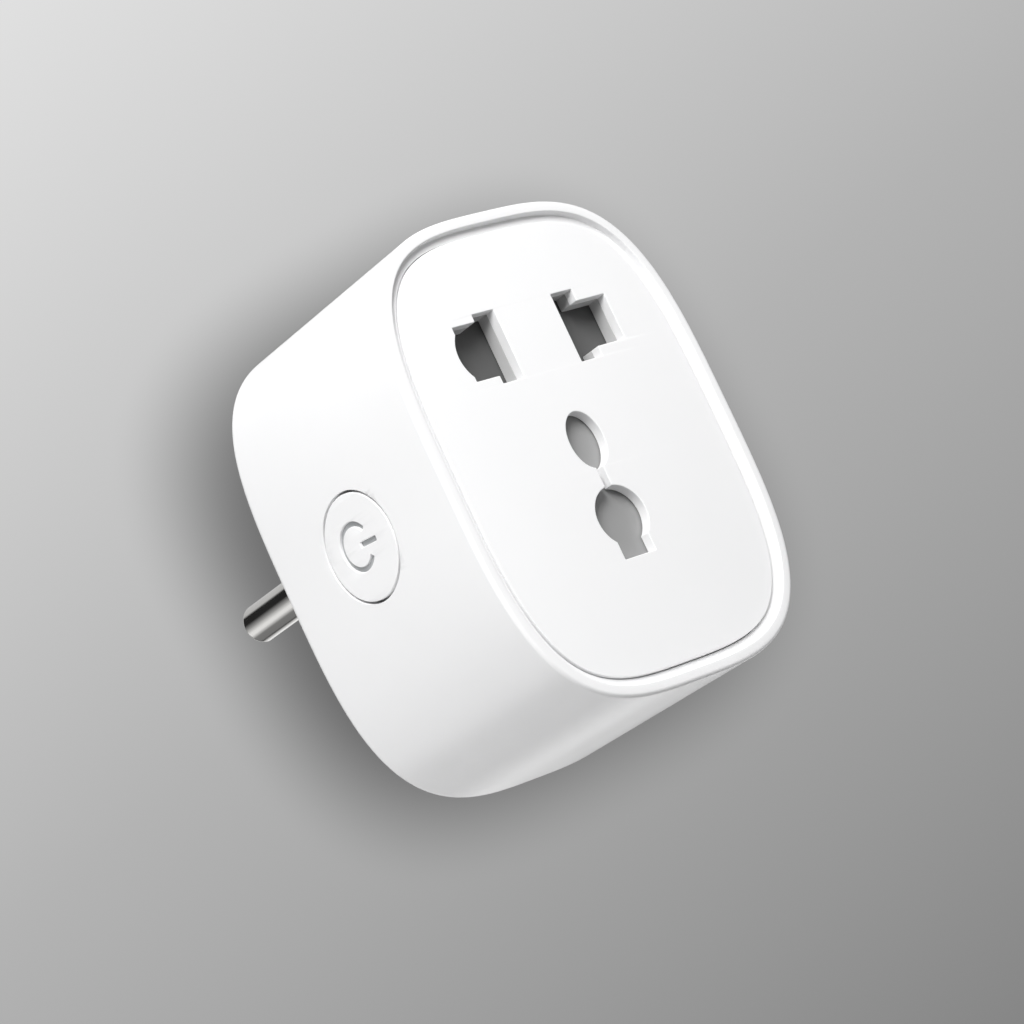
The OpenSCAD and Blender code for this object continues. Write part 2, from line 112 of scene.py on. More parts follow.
def squircle_ring(inset, count):
    """Evenly spaced points (x, z) of the shell's outline, moved inwards along its normal."""
    t = np.linspace(0, 2 * np.pi, 8193)
    c, s = np.cos(t), np.sin(t)
    power = 2 / SQUARENESS
    x = HALF_W * np.sign(c) * np.abs(c) ** power
    z = HALF_H * np.sign(s) * np.abs(s) ** power
    nx = np.sign(c) * np.abs(c) ** (2 - power) / HALF_W
    nz = np.sign(s) * np.abs(s) ** (2 - power) / HALF_H
    size = np.hypot(nx, nz)
    length = np.concatenate([[0], np.cumsum(np.hypot(np.diff(x), np.diff(z)))])
    at = np.linspace(0, length[-1], count, endpoint=False)
    even = [np.interp(at, length, v) for v in (x - inset * nx / size, z - inset * nz / size)]
    return np.stack(even, 1)


def loft_mesh(name, levels, count, closed=False):
    """Skin through squircle rings, each given as (y, inset); closed joins the last to the first."""
    points = [(x, y, z) for y, inset in levels for x, z in squircle_ring(inset, count)]
    rows = len(levels)
    faces = []
    for j in range(rows if closed else rows - 1):
        for i in range(count):
            a, b = j * count + i, j * count + (i + 1) % count
            up = ((j + 1) % rows) * count
            faces.append((a, b, up + (i + 1) % count, up + i))
    if not closed:
        faces.append(tuple(range(count - 1, -1, -1)))
        faces.append(tuple((rows - 1) * count + i for i in range(count)))
    mesh = mesh_from(name, points, faces)
    fix_normals(mesh)
    return mesh


def fix_normals(mesh):
    bm = bmesh.new()
    bm.from_mesh(mesh)
    bmesh.ops.recalc_face_normals(bm, faces=bm.faces)
    bm.to_mesh(mesh)
    bm.free()


def arc(centre, radius, start, stop, steps):
    """Points of an arc; angles are in degrees and both ends are included."""
    angles = [math.radians(start + (stop - start) * i / steps) for i in range(steps + 1)]
    return [(centre[0] + radius * math.cos(a), centre[1] + radius * math.sin(a)) for a in angles]


def lathe_mesh(name, profile, count, axis, origin=(0, 0, 0)):
    """Turns a closed outline of (along, radius) points about an axis, "x" or "y", through origin."""
    points, faces, rows = [], [], []
    for along, r in profile:
        if r < 1e-7:
            rows.append([len(points)])
            points.append((along, 0, 0))
            continue
        rows.append([len(points) + i for i in range(count)])
        for i in range(count):
            a = 2 * math.pi * i / count
            points.append((along, r * math.cos(a), r * math.sin(a)))
    for low, high in zip(rows, rows[1:] + rows[:1]):
        if len(low) == 1 and len(high) == 1:
            continue
        for i in range(count):
            k = (i + 1) % count
            corner = [low[i % len(low)], low[k % len(low)], high[k % len(high)], high[i % len(high)]]
            faces.append(tuple(dict.fromkeys(corner)))
    turn = Matrix.Identity(4) if axis == "x" else Matrix.Rotation(math.pi / 2, 4, "Z")
    mesh = mesh_from(name, points, faces)
    mesh.transform(Matrix.Translation(origin) @ turn)
    fix_normals(mesh)
    return mesh


def sheet_mesh(name, outlines, depth, bevel, steps=4):
    """Flat solid with holes, from outlines in a plane. Its front lies at 0 and its back at -depth
    along the plane's normal, and every edge is rounded by bevel."""
    curve = bpy.data.curves.new(name, "CURVE")
    curve.dimensions = "2D"
    curve.fill_mode = "BOTH"
    curve.extrude = depth / 2 - bevel
    curve.bevel_depth = bevel
    curve.bevel_resolution = steps - 1
    curve.offset = -bevel
    for outline in outlines:
        spline = curve.splines.new("POLY")
        spline.points.add(len(outline) - 1)
        for point, (u, v) in zip(spline.points, outline):
            point.co = (u, v, 0, 1)
        spline.use_cyclic_u = True
    holder = loose_object(name, curve)
    graph = bpy.context.evaluated_depsgraph_get()
    mesh = bpy.data.meshes.new_from_object(holder.evaluated_get(graph))
    bpy.data.objects.remove(holder)
    bpy.data.curves.remove(curve)
    mesh.transform(Matrix.Translation((0, 0, -depth / 2)))
    weld(mesh, 1e-7)
    fix_normals(mesh)
    return mesh


def weld(mesh, distance):
    bm = bmesh.new()
    bm.from_mesh(mesh)
    bmesh.ops.remove_doubles(bm, verts=bm.verts, dist=distance)
    bm.to_mesh(mesh)
    bm.free()


# Turns that take a sheet's u, v and normal to the CAD frame's axes
FACING_FRONT = Matrix(((1, 0, 0, 0), (0, 0, -1, 0), (0, 1, 0, 0), (0, 0, 0, 1)))
FACING_LEFT = Matrix(((0, 0, -1, 0), (-1, 0, 0, 0), (0, 1, 0, 0), (0, 0, 0, 1)))


def cut_away(target, cutter):
    """Takes the cutter's shape out of the target's mesh and removes the cutter."""
    modifier = target.modifiers.new("cut", "BOOLEAN")
    modifier.object = cutter
    modifier.operation = "DIFFERENCE"
    modifier.solver = "EXACT"
    graph = bpy.context.evaluated_depsgraph_get()
    mesh = bpy.data.meshes.new_from_object(target.evaluated_get(graph))
    target.modifiers.clear()
    old = target.data
    target.data = mesh
    bpy.data.meshes.remove(old)
    bpy.data.objects.remove(cutter)


def join_meshes(name, meshes):
    """One mesh that holds several separate closed ones."""
    bm = bmesh.new()
    for mesh in meshes:
        bm.from_mesh(mesh)
        bpy.data.meshes.remove(mesh)
    joined = bpy.data.meshes.new(name)
    bm.to_mesh(joined)
    bm.free()
    return joined


def smooth(piece, angle=30):
    """Smooth shading with sharp edges kept, and flat faces kept flat beside small bevels."""
    mesh = piece.data
    mesh.shade_smooth()
    mesh.set_sharp_from_angle(angle=math.radians(angle))
    modifier = piece.modifiers.new("weighted normals", "WEIGHTED_NORMAL")
    modifier.keep_sharp = True
    modifier.weight = 100


def box_mesh(name, low, high):
    bm = bmesh.new()
    bmesh.ops.create_cube(bm, size=1)
    mesh = bpy.data.meshes.new(name)
    bm.to_mesh(mesh)
    bm.free()
    low, high = Vector(low), Vector(high)
    size = high - low
    mesh.transform(Matrix.Translation((low + high) / 2) @ Matrix.Diagonal((*size, 1)))
    return mesh


# ---------------------------------------------------------------- material helpers

# Features per metre of the plastic's grain
GRAIN_SCALE = 4000


def new_material(name):
    material = bpy.data.materials.new(name)
    material.use_nodes = True
    nodes = material.node_tree.nodes
    return material, nodes, material.node_tree.links, nodes["Principled BSDF"]


def noise(nodes, links, scale, detail=2.0):
    """Noise in the object's own space; scale is in features per metre."""
    place = nodes.new("ShaderNodeTexCoord")
    texture = nodes.new("ShaderNodeTexNoise")
    texture.inputs["Scale"].default_value = scale
    texture.inputs["Detail"].default_value = detail
    links.new(place.outputs["Object"], texture.inputs["Vector"])
    return texture.outputs["Fac"]


def mapped(nodes, links, source, low, high):
    """A value from 0 to 1 stretched to run from low to high."""
    remap = nodes.new("ShaderNodeMapRange")
    remap.inputs["To Min"].default_value = low
    remap.inputs["To Max"].default_value = high
    links.new(source, remap.inputs["Value"])
    return remap.outputs["Result"]


def mixed_colour(nodes, links, source, first, second):
    ramp = nodes.new("ShaderNodeValToRGB")
    ramp.color_ramp.elements[0].position = 0.3
    ramp.color_ramp.elements[0].color = (*first, 1)
    ramp.color_ramp.elements[1].position = 0.7
    ramp.color_ramp.elements[1].color = (*second, 1)
    links.new(source, ramp.inputs["Fac"])
    return ramp.outputs["Color"]


def bumped(nodes, links, shader, source, distance):
    bump = nodes.new("ShaderNodeBump")
    bump.inputs["Distance"].default_value = distance
    bump.inputs["Strength"].default_value = 1
    links.new(source, bump.inputs["Height"])
    links.new(bump.outputs["Normal"], shader.inputs["Normal"])


def moulded_plastic(name, colour, roughness, grain=0.004 * MM, spread=0.012):
    """Injection-moulded plastic: a faint grain, slow changes of gloss and a trace of mottling."""
    material, nodes, links, shader = new_material(name)
    slow = noise(nodes, links, 60, 3)
    fine = noise(nodes, links, GRAIN_SCALE, 4)
    darker = tuple(c * (1 - spread) for c in colour)
    links.new(mixed_colour(nodes, links, slow, darker, colour), shader.inputs["Base Color"])
    links.new(
        mapped(nodes, links, slow, roughness * 0.9, roughness * 1.1), shader.inputs["Roughness"]
    )
    shader.inputs["IOR"].default_value = 1.5
    bumped(nodes, links, shader, fine, grain)
    return material


def plated_metal(name, colour, roughness):
    """Polished plate with fine turning lines round the Y axis and faint smudges."""
    material, nodes, links, shader = new_material(name)
    place = nodes.new("ShaderNodeTexCoord")
    stretch = nodes.new("ShaderNodeMapping")
    stretch.inputs["Scale"].default_value = (150, 9000, 150)
    lines = nodes.new("ShaderNodeTexNoise")
    lines.inputs["Scale"].default_value = 1
    lines.inputs["Detail"].default_value = 3
    links.new(place.outputs["Object"], stretch.inputs["Vector"])
    links.new(stretch.outputs["Vector"], lines.inputs["Vector"])
    smudge = noise(nodes, links, 220, 3)
    darker = tuple(c * 0.93 for c in colour)
    links.new(mixed_colour(nodes, links, smudge, darker, colour), shader.inputs["Base Color"])
    links.new(
        mapped(nodes, links, smudge, roughness * 0.7, roughness * 1.4), shader.inputs["Roughness"]
    )
    shader.inputs["Metallic"].default_value = 1
    bumped(nodes, links, shader, lines.outputs["Fac"], 0.0015 * MM)
    return material


# ---------------------------------------------------------------- materials

WHITE = (0.9, 0.9, 0.905)


def circuit_board_material():
    """Green solder mask over faintly raised tracks."""
    material, nodes, links, shader = new_material("solder mask")
    place = nodes.new("ShaderNodeTexCoord")
    tracks = nodes.new("ShaderNodeTexVoronoi")
    tracks.feature = "DISTANCE_TO_EDGE"
    tracks.inputs["Scale"].default_value = 420
    links.new(place.outputs["Object"], tracks.inputs["Vector"])
    ramp = nodes.new("ShaderNodeValToRGB")
    ramp.color_ramp.elements[0].position = 0.03
    ramp.color_ramp.elements[0].color = (0.02, 0.16, 0.07, 1)
    ramp.color_ramp.elements[1].position = 0.06
    ramp.color_ramp.elements[1].color = (0.008, 0.09, 0.035, 1)
    links.new(tracks.outputs["Distance"], ramp.inputs["Fac"])
    links.new(ramp.outputs["Color"], shader.inputs["Base Color"])
    shader.inputs["Roughness"].default_value = 0.35
    bumped(nodes, links, shader, ramp.outputs["Color"], 0.02 * MM)
    return material


SHELL_PLASTIC = moulded_plastic("shell plastic", WHITE, 0.24, grain=0.0015 * MM)
FACE_PLASTIC = moulded_plastic("face plastic", WHITE, 0.38, grain=0.003 * MM)
BUTTON_PLASTIC = moulded_plastic("button plastic", WHITE, 0.24, grain=0.0015 * MM)
# Grey frame plastic, darker than the face plate's white: on the collar walls inside the line holes this
# grey is partly painted shade.
FRAME_GREY_AND_PAINTED_SHADE = moulded_plastic("frame plastic and painted shade", (0.55, 0.55, 0.55), 0.45, grain=0.003 * MM)
GUIDE_PLASTIC = moulded_plastic("light guide", (0.42, 0.43, 0.44), 0.35)
CARRIER_PLASTIC = moulded_plastic("carrier plastic", (0.05, 0.05, 0.055), 0.5, spread=0.2)
LINE_SHUTTER_PLASTIC = moulded_plastic("line shutter plastic", (0.09,) * 3, 0.5, spread=0.1)
EARTH_SHUTTER_PLASTIC = moulded_plastic("earth shutter plastic", (0.31,) * 3, 0.5, spread=0.05)
BLACK_PLASTIC = moulded_plastic("black plastic", (0.02, 0.02, 0.02), 0.45, spread=0.2)
RELAY_PLASTIC = moulded_plastic("relay case", (0.02, 0.07, 0.3), 0.4, spread=0.1)
SLEEVE_PLASTIC = moulded_plastic("capacitor sleeve", (0.012, 0.02, 0.06), 0.3, spread=0.2)
FUSE_PLASTIC = moulded_plastic("fuse lacquer", (0.12, 0.18, 0.08), 0.3, spread=0.15)
EPOXY = moulded_plastic("epoxy coat", (0.015, 0.1, 0.35), 0.3, grain=0.01 * MM, spread=0.15)
LED_LENS = moulded_plastic("led lens", (0.75, 0.82, 0.9), 0.2)
NICKEL = plated_metal("nickel plate", (0.83, 0.82, 0.8), 0.12)
ZINC = plated_metal("zinc plate", (0.62, 0.63, 0.65), 0.3)
SPRING_WIRE = plated_metal("spring wire", (0.5, 0.5, 0.52), 0.28)
BRASS = plated_metal("contact brass", (0.78, 0.56, 0.24), 0.25)
TIN_CAN = plated_metal("tinned can", (0.7, 0.7, 0.7), 0.32)
SOLDER_MASK = circuit_board_material()

CAD_MATERIALS = {
    "switch_plunger": BLACK_PLASTIC,
    "switch_dome": SPRING_WIRE,
    "tact_switch": BLACK_PLASTIC,
    "contact_carrier": CARRIER_PLASTIC,
    "carrier_base": CARRIER_PLASTIC,
    "carrier_screws": ZINC,
    "live_contact": BRASS,
    "neutral_contact": BRASS,
    "line_shutter": LINE_SHUTTER_PLASTIC,
    "line_shutter_springs": SPRING_WIRE,
    "earth_shutter": EARTH_SHUTTER_PLASTIC,
    "earth_shutter_spring": SPRING_WIRE,
    "control_board": SOLDER_MASK,
    "wifi_module": TIN_CAN,
    "status_led": LED_LENS,
    "board_header": BLACK_PLASTIC,
    "main_board": SOLDER_MASK,
    "relay": RELAY_PLASTIC,
    "filter_capacitors": SLEEVE_PLASTIC,
    "inductor": BLACK_PLASTIC,
    "rectifier": BLACK_PLASTIC,
    "fuse": FUSE_PLASTIC,
    "varistor": EPOXY,
}


def give_material(piece, material):
    piece.data.materials.clear()
    piece.data.materials.append(material)


# ---------------------------------------------------------------- shell

RING_COUNT = 288
LIP_ROUND = 0.5 * MM
RIM_ROUND = 1.1 * MM
LIP_W = 1.35 * MM
GROOVE_D = 0.9 * MM
GROOVE_DRAFT = 0.1 * MM


def round_corner(before, corner, after, cut, steps=4):
    """Points that round one corner of an outline, from cut before it to cut after it."""
    before, corner, after = Vector(before), Vector(corner), Vector(after)
    start = corner + (before - corner).normalized() * cut
    end = corner + (after - corner).normalized() * cut
    result = []
    for k in range(steps + 1):
        t = k / steps
        result.append(tuple(start * (1 - t) ** 2 + corner * 2 * t * (1 - t) + end * t ** 2))
    return result


def shell_profile():
    """Closed section of the shell's wall as (y, inset), from the rim round the outside."""
    rim = [(RIM_Y - RIM_ROUND + s, RIM_ROUND - c) for c, s in arc((0, 0), RIM_ROUND, 90, 0, 8)]
    side = [
        (LIP_Y + LIP_ROUND + (RIM_Y - RIM_ROUND - LIP_Y - LIP_ROUND) * k / 12, 0)
        for k in range(11, 0, -1)
    ]
    lip = [(LIP_Y + LIP_ROUND - s, LIP_ROUND - c) for c, s in arc((0, 0), LIP_ROUND, 0, 90, 7)]
    top, foot = (LIP_Y, LIP_W), (LIP_Y + GROOVE_D, LIP_W + GROOVE_DRAFT)
    brink, seat = (LIP_Y + GROOVE_D, PLATE_INSET), (PLATE_BACK, PLATE_INSET)
    mouth = round_corner((LIP_Y, 0), top, foot, 0.12 * MM)
    mouth += round_corner(top, foot, brink, 0.05 * MM)
    mouth += round_corner(foot, brink, seat, 0.05 * MM)
    return rim + side + lip + mouth + [
        (PLATE_BACK, PLATE_INSET),
        (PLATE_BACK, LEDGE_INSET),
        (LEDGE_BACK, LEDGE_INSET),
        (LEDGE_BACK, WALL),
        (COVER_FRONT, WALL),
        (RIM_Y - 0.1 * MM, WALL),
        (RIM_Y, WALL - 0.1 * MM),
    ]


def button_hole_cutter():
    """Drill for the button's hole, flared at the surface to leave a small round on its edge."""
    r = BUTTON_R + BUTTON_GAP
    edge = 0.1 * MM
    surface = -HALF_W
    flare = [(surface + edge - edge * math.sin(a), r + edge - edge * math.cos(a))
             for a in [math.radians(90 * i / 5) for i in range(6)]]
    profile = [(surface + 3 * MM, 0), (surface + 3 * MM, r)] + flare
    profile += [(surface - 1 * MM, r + edge), (surface - 1 * MM, 0)]
    mesh = lathe_mesh("button_hole", profile, 128, "x", (0, BUTTON_Y, 0))
    return loose_object("button_hole", mesh)


def make_shell():
    mesh = loft_mesh("plug_shell", shell_profile(), RING_COUNT, closed=True)
    piece = add_object("plug_shell", mesh, "housing", "shell")
    cut_away(piece, button_hole_cutter())
    piece.data = join_meshes("plug_shell", [piece.data.copy()] + screw_posts())
    smooth(piece)
    give_material(piece, SHELL_PLASTIC)


def screw_places():
    """Places (x, z) of the four rear screws."""
    return [(x, z) for x in (-POST_X, POST_X) for z in (-POST_Z, POST_Z)]


def screw_posts():
    """Bored posts for the rear screws, each tied to the shell's side by a web."""
    meshes = []
    front, r, bore = LEDGE_BACK - 0.01 * MM, 2.2 * MM, 0.9 * MM
    post = [
        (front, 0), (front, r), (COVER_FRONT - 0.15 * MM, r), (COVER_FRONT, r - 0.15 * MM),
        (COVER_FRONT, bore), (COVER_FRONT - 8 * MM, bore), (COVER_FRONT - 8 * MM, 0),
    ]
    for x, z in screw_places():
        meshes.append(lathe_mesh("post", post, 48, "y", (x, 0, z)))
        ends = sorted((math.copysign(POST_X + 2.1 * MM, x), math.copysign(18.2 * MM, x)))
        low, high = (ends[0], front, z - 0.6 * MM), (ends[1], COVER_FRONT, z + 0.6 * MM)
        meshes.append(box_mesh("web", low, high))
    return meshes


# ---------------------------------------------------------------- face plate

EDGE = 0.1 * MM


def rounded(outline, radius, steps=4):
    """The outline with every corner sharper than 30 degrees rounded."""
    result = []
    count = len(outline)
    for i, corner in enumerate(outline):
        corner = Vector(corner)
        before = (Vector(outline[i - 1]) - corner)
        after = (Vector(outline[(i + 1) % count]) - corner)
        turn = math.pi - before.angle(after)
        if turn < math.radians(30):
            result.append(tuple(corner))
            continue
        cut = min(radius * math.tan(turn / 2), before.length * 0.45, after.length * 0.45)
        result += round_corner(corner + before, corner, corner + after, cut, steps)
    return result


def right_hole_outline():
    """Upright blade slot crossed by a rectangle, in millimetres about the line centre."""
    points = [
        (4.4, -4.25), (7.6, -4.25), (7.6, -3.0), (11.9, -3.0),
        (11.9, 2.7), (7.6, 2.7), (7.6, 4.2), (4.4, 4.2),
    ]
    return [(x * MM, LINE_Z + z * MM) for x, z in points]


def left_hole_outline():
    """The same slot with a taller opening that ends in an arc."""
    bulge_r = 4.06
    centre = (-11.9 + bulge_r, -0.15)
    half = math.degrees(math.asin(2.55 / bulge_r))
    bulge = arc(centre, bulge_r, 180 - half, 180 + half, 14)
    points = [(-7.6, 4.2), (-7.6, 3.3), (-11.0, 3.3)] + bulge
    points += [(-11.0, -3.3), (-7.6, -3.3), (-7.6, -4.25), (-4.4, -4.25), (-4.4, 4.2)]
    return [(x * MM, LINE_Z + z * MM) for x, z in points]


def earth_hole_outline():
    """Keyhole below, narrow neck, and an oval above."""
    r, neck, tail = 3.6, 0.5, 2.35
    oval = (2.5, 3.44, 0.54)
    oval_start = math.degrees(math.asin(neck / oval[0]))
    upper = [
        (oval[0] * math.sin(math.radians(a)), oval[2] - oval[1] * math.cos(math.radians(a)))
        for a in np.linspace(oval_start, 360 - oval_start, 45)
    ]
    neck_at = math.degrees(math.asin(neck / r))
    tail_at = math.degrees(math.asin(tail / r))
    left = arc((0, EARTH_Z / MM), r, 90 + neck_at, 270 - tail_at, 20)
    right = arc((0, EARTH_Z / MM), r, -90 + tail_at, 90 - neck_at, 20)
    foot = EARTH_Z / MM - 4.85
    points = upper + left + [(-tail, foot), (tail, foot)] + right
    return [(x * MM, z * MM) for x, z in points]


def hole_outlines():
    return [
        rounded(right_hole_outline(), 0.14 * MM),
        rounded(left_hole_outline(), 0.14 * MM),
        rounded(earth_hole_outline(), 0.14 * MM),
    ]


def grown(outline, distance):
    """The outline moved outwards by a distance, with mitred corners."""
    count = len(outline)
    area = sum(
        outline[i - 1][0] * outline[i][1] - outline[i][0] * outline[i - 1][1] for i in range(count)
    )
    side = 1 if area > 0 else -1
    result = []
    for i in range(count):
        here = Vector(outline[i])
        a = (here - Vector(outline[i - 1])).normalized()
        b = (Vector(outline[(i + 1) % count]) - here).normalized()
        na, nb = Vector((a.y, -a.x)) * side, Vector((b.y, -b.x)) * side
        middle = (na + nb).normalized()
        result.append(tuple(here + middle * distance / max(middle.dot(na), 0.4)))
    return result


def put_on_front(mesh, y):
    """Places a sheet so that its front faces -Y at that y."""
    mesh.transform(Matrix.Translation((0, y, 0)) @ FACING_FRONT)
    return mesh


def make_face_plate():
    outer = [tuple(p) for p in squircle_ring(PLATE_INSET + PLATE_GAP, RING_COUNT)]
    holes = hole_outlines()
    meshes = [put_on_front(sheet_mesh("plate", [outer] + holes, PLATE_T, EDGE), PLATE_Y)]
    mesh = join_meshes("plug_face_plate", meshes + plate_fittings())
    piece = add_object("plug_face_plate", mesh, "housing", "face_plate")
    smooth(piece)
    give_material(piece, FACE_PLASTIC)


def plate_fittings():
    """What stands on the plate's back: screw bosses, snap hooks and a spring post."""
    back, play = PLATE_BACK - 0.01 * MM, 0.15 * MM
    meshes = []
    boss_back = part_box("contact_carrier")[0].y
    for z in (21.6 * MM, -18.8 * MM):
        boss = [
            (back, 0), (back, 2.0 * MM), (boss_back - 0.15 * MM, 2.0 * MM),
            (boss_back, 1.85 * MM), (boss_back, 0.8 * MM), (back + 0.3 * MM, 0.8 * MM),
            (back + 0.3 * MM, 0),
        ]
        meshes.append(lathe_mesh("boss", boss, 48, "y", (0, 0, z)))
    post = [(back, 0), (back, 0.5 * MM), (COLLAR_BACK - 0.1 * MM, 0.5 * MM), (COLLAR_BACK, 0.4 * MM)]
    meshes.append(lathe_mesh("post", post + [(COLLAR_BACK, 0)], 32, "y", (-12 * MM, 0, -5 * MM)))
    for turn in (0, 90, 180, 270):
        reach = (HALF_H if turn % 180 == 0 else HALF_W) - LEDGE_INSET - play
        hook = [
            (back, reach - 0.8 * MM), (LEDGE_BACK + 1.2 * MM, reach - 0.8 * MM),
            (LEDGE_BACK + 1.2 * MM, reach), (LEDGE_BACK + 0.1 * MM, reach + 0.7 * MM),
            (LEDGE_BACK + 0.1 * MM, reach), (back, reach),
        ]
        mesh = prism_mesh("hook", hook, -3 * MM, 3 * MM)
        mesh.transform(Matrix.Rotation(math.radians(turn), 4, "Y"))
        meshes.append(mesh)
    return meshes


def make_shutter_frame():
    """Collars round the line holes, joined to the rails that hold the earth shutter's edges."""
    slide_low, slide_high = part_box("earth_shutter")
    line_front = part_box("line_shutter")[0].y
    front, play, leg, cover = PLATE_BACK, 0.15 * MM, 1.0 * MM, 0.6 * MM
    side, left, right = 7.6 * MM, -4.6 * MM, 12.8 * MM
    back, lip = line_front - play, slide_high.y + play
    meshes = []
    for hole in hole_outlines()[:2]:
        depth = COLLAR_BACK - front
        collar = sheet_mesh("collar", [grown(hole, 0.8 * MM), hole], depth, 0.02 * MM, 1)
        meshes.append(put_on_front(collar, front))
    for edge, way, start in ((slide_high.z, 1, -side), (slide_low.z, -1, left)):
        inner, outer = edge + way * play, edge + way * (play + leg)
        wall = [(front, inner), (back, inner), (back, outer), (front, outer)]
        hold = [(lip, inner + way * 0.1 * MM), (lip, edge - way * cover)]
        hold += [(back - 0.01 * MM, edge - way * cover), (back - 0.01 * MM, inner + way * 0.1 * MM)]
        meshes.append(prism_mesh("rail", wall, start, right))
        meshes.append(prism_mesh("rail_lip", hold, left, right))
    low, high = slide_low.z - play - leg, slide_high.z + play + leg
    web = [(front, low), (back, low), (back, high), (front, high)]
    meshes.append(prism_mesh("web", web, right - 0.01 * MM, right + leg))
    tie_low, tie_high, tie_w = high - 0.1 * MM, LINE_Z - 4.3 * MM, 3.2 * MM
    tie = [(front, tie_low), (back, tie_low), (back, tie_high), (front, tie_high)]
    for x0 in (-side, side - tie_w):
        meshes.append(prism_mesh("tie", tie, x0, x0 + tie_w))
    mesh = join_meshes("plug_shutter_frame", meshes)
    piece = add_object("plug_shutter_frame", mesh, "housing", "shutter_frame")
    smooth(piece)
    # The grey frame plastic puts painted shade on the collar walls inside the line holes.
    give_material(piece, FRAME_GREY_AND_PAINTED_SHADE)


def prism_mesh(name, outline, x0, x1):
    """Solid with one (y, z) outline all along X."""
    count = len(outline)
    points = [(x, y, z) for x in (x0, x1) for y, z in outline]
    faces = [(i, (i + 1) % count, (i + 1) % count + count, i + count) for i in range(count)]
    faces += [tuple(range(count)), tuple(range(2 * count - 1, count - 1, -1))]
    mesh = mesh_from(name, points, faces)
    fix_normals(mesh)
    return mesh


# ---------------------------------------------------------------- button


def symbol_outlines(shrink=0.0):
    """Open ring and bar of the power symbol, as (u, v) with u towards the front."""
    r, half, gap = 2.6 * MM, 0.3 * MM - shrink, 37
    bar_start, bar_end = 0.75 * MM, 3.75 * MM
    back, up, turn = 0.65 * MM, 0.3 * MM, math.radians(-6)
    outer = arc((0, 0), r + half, gap, 360 - gap, 56)
    inner = arc((0, 0), r - half, 360 - gap, gap, 56)
    bar = [(bar_start, -half), (bar_end, -half), (bar_end, half), (bar_start, half)]
    placed = []
    for outline in (rounded(outer + inner, 0.16 * MM), rounded(bar, 0.16 * MM)):
        placed.append([
            (u * math.cos(turn) - v * math.sin(turn) - back,
             u * math.sin(turn) + v * math.cos(turn) + up)
            for u, v in outline
        ])
    return placed


def put_on_left(mesh, x):
    """Places a sheet about the button's centre so that its front faces -X at that x."""
    mesh.transform(Matrix.Translation((x, BUTTON_Y, 0)) @ FACING_LEFT)


def make_button():
    cap_depth = 1.5 * MM
    rim = arc((0, 0), BUTTON_R, 0, 357.5, 143)
    cap = sheet_mesh("cap", [rim] + symbol_outlines(), cap_depth, 0.1 * MM, 4)
    put_on_left(cap, -HALF_W)
    low, high = button_low.x + cap_depth - 0.01 * MM, button_high.x
    flange = [
        (low, 4.25 * MM), (low, BUTTON_R), (high - 0.7 * MM, BUTTON_R),
        (high - 0.7 * MM, 7.1 * MM), (high - 0.6 * MM, 7.2 * MM), (high, 7.2 * MM), (high, 4.25 * MM),
    ]
    skirt = lathe_mesh("skirt", flange, 96, "x", (0, BUTTON_Y, 0))
    mesh = join_meshes("power_button_cap", [cap, skirt])
    piece = add_object("power_button_cap", mesh, "button", "power_button")
    smooth(piece)
    give_material(piece, BUTTON_PLASTIC)

    top = -HALF_W + 0.3 * MM
    base = guide_high.x - 1.05 * MM
    symbol = sheet_mesh("symbol", symbol_outlines(0.01 * MM), base - top + 0.02 * MM, 0.03 * MM, 2)
    put_on_left(symbol, top)
    back, disc_r, disc_edge = guide_high.x, 4.2 * MM, 0.1 * MM
    disc = [(base, 0), (base, disc_r - disc_edge), (base + disc_edge, disc_r), (back, disc_r), (back, 0)]
    disc_mesh = lathe_mesh("disc", disc, 96, "x", (0, BUTTON_Y, 0))
    mesh = join_meshes("power_symbol", [symbol, disc_mesh])
    guide = add_object("power_symbol", mesh, "button", "icon_light_guide")
    smooth(guide)
    give_material(guide, GUIDE_PLASTIC)


# ---------------------------------------------------------------- rear: cover, pins and screws


PIN_ROOT_R = 2.2 * MM
PIN_RECESS = 0.5 * MM
SCREW_SEAT = RIM_Y - 1.2 * MM
# Outline of a screw's head, as millimetres above its seat and from its axis
SCREW_HEAD = [
    (0, 0.7), (0, 1.7), (0.1, 1.8), (0.55, 1.8), (0.8, 1.62), (0.94, 1.2), (1.0, 0.7), (1.0, 0),
]


